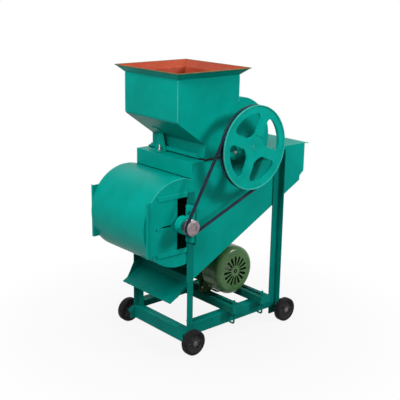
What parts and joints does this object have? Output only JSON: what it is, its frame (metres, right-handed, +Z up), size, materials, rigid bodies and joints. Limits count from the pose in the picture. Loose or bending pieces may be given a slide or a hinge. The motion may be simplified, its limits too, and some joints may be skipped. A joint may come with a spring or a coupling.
{
  "type": "garlic bulb breaker",
  "caption": "Wheeled garlic bulb breaker: flared hopper over a beater drum in a belt-driven sheet-metal body, with winnowing fan, motor, skin outlet and clove chute.",
  "frame": {"origin": "on the floor under the middle of the machine", "axes": "+X from the clove chute to the skin outlet, +Y from the big belt wheel to the far side, +Z up"},
  "size_m": [0.864, 0.494, 1.08],
  "materials": {
    "teal_paint": "gloss enamel over sheet and angle iron",
    "motor_paint": "semi-gloss olive green enamel",
    "bearing_iron": "painted over with the frame",
    "bright_steel": "turned, bare",
    "zinc_steel": "zinc plated",
    "plain_steel": "mill finish",
    "wheel_rubber": "solid, slightly worn",
    "pad_rubber": "matte",
    "belt_rubber": "matte, cloth faced",
    "gasket_rubber": "matte",
    "fan_plastic": "matte",
    "gland_plastic": "matte"
  },
  "bodies": {
    "frame": {"axle_nuts": "zinc_steel", "bar_screen": "plain_steel", "base_rail_far": "teal_paint", "base_rail_near": "teal_paint", "bearing_beams": "teal_paint", "bearing_seats": "teal_paint", "body_bolts": "zinc_steel", "cable_gland": "gland_plastic", "casing_gasket": "gasket_rubber", "clove_chute": "teal_paint", "drum_bearings": "bearing_iron", "drum_belt": "belt_rubber", "drum_casing": "teal_paint", "duct_floor": "teal_paint", "end_rails": "teal_paint", "fan_bearings": "bearing_iron", "fan_end_plate_far": "teal_paint", "fan_end_plate_near": "teal_paint", "fan_shell": "teal_paint", "gate_clips": "teal_paint", "hopper": "teal_paint", "hopper_stay": "teal_paint", "leg_left_far": "teal_paint", "leg_left_near": "teal_paint", "leg_right_far": "teal_paint", "leg_right_near": "teal_paint", "motor_belt": "belt_rubber", "motor_fan_cover": "motor_paint", "motor_foot_bolts": "zinc_steel", "motor_housing": "motor_paint", "motor_rails": "teal_paint", "motor_shield_drive": "motor_paint", "motor_shield_fan": "motor_paint", "motor_terminal_box": "motor_paint", "outlet_cover": "teal_paint", "rail_hook_bolts": "zinc_steel", "shutter_guides": "teal_paint", "side_plate_far": "teal_paint", "side_plate_near": "teal_paint", "stub_axles": "zinc_steel", "throat_cover": "teal_paint"},
    "drum": {"drum_shaft": "bright_steel", "drum_spiders": "plain_steel", "beater_bars": "plain_steel", "rubber_pads": "pad_rubber", "drum_pulley": "teal_paint"},
    "fan_rotor": {"fan_shaft": "bright_steel", "fan_impeller": "plain_steel", "fan_pulley": "teal_paint", "fan_drive_pulley": "teal_paint"},
    "motor_rotor": {"motor_rotor": "bright_steel", "motor_fan": "fan_plastic", "motor_pulley": "teal_paint"},
    "wheel_left_near": {"wheel_left_near": "wheel_rubber"},
    "wheel_right_near": {"wheel_right_near": "wheel_rubber"},
    "wheel_left_far": {"wheel_left_far": "wheel_rubber"},
    "wheel_right_far": {"wheel_right_far": "wheel_rubber"},
    "feed_gate": {"feed_gate": "teal_paint"},
    "air_shutter_near": {"air_shutter_near": "teal_paint"},
    "air_shutter_far": {"air_shutter_far": "teal_paint"}
  },
  "joints": [
    {"name": "drum_spin", "type": "hinge", "parent": "frame", "child": "drum", "pos_m": [0.038, 0, 0.786], "axis": [0, 1, 0], "continuous": true},
    {"name": "fan_spin", "type": "hinge", "parent": "frame", "child": "fan_rotor", "pos_m": [-0.2635, 0, 0.526], "axis": [0, 1, 0], "continuous": true},
    {"name": "motor_spin", "type": "hinge", "parent": "frame", "child": "motor_rotor", "pos_m": [0.085, 0, 0.24], "axis": [0, 1, 0], "continuous": true},
    {"name": "wheel_left_near_roll", "type": "hinge", "parent": "frame", "child": "wheel_left_near", "pos_m": [-0.225, -0.207, 0.05], "axis": [0, 1, 0], "continuous": true},
    {"name": "wheel_left_far_roll", "type": "hinge", "parent": "frame", "child": "wheel_left_far", "pos_m": [-0.225, 0.207, 0.05], "axis": [0, 1, 0], "continuous": true},
    {"name": "wheel_right_near_roll", "type": "hinge", "parent": "frame", "child": "wheel_right_near", "pos_m": [0.285, -0.207, 0.05], "axis": [0, 1, 0], "continuous": true},
    {"name": "wheel_right_far_roll", "type": "hinge", "parent": "frame", "child": "wheel_right_far", "pos_m": [0.285, 0.207, 0.05], "axis": [0, 1, 0], "continuous": true},
    {"name": "gate_slide", "type": "slide", "parent": "frame", "child": "feed_gate", "axis": [1, 0, 0], "range_m": [0, 0.018]},
    {"name": "air_slide_near", "type": "slide", "parent": "frame", "child": "air_shutter_near", "axis": [1, 0, 0], "range_m": [-0.06, 0]},
    {"name": "air_slide_far", "type": "slide", "parent": "frame", "child": "air_shutter_far", "axis": [1, 0, 0], "range_m": [-0.06, 0]}
  ],
  "couplings": [
    {"joint": "fan_spin", "follows": "drum_spin", "ratio": 6.0769},
    {"joint": "motor_spin", "follows": "drum_spin", "ratio": 6.7166}
  ]
}
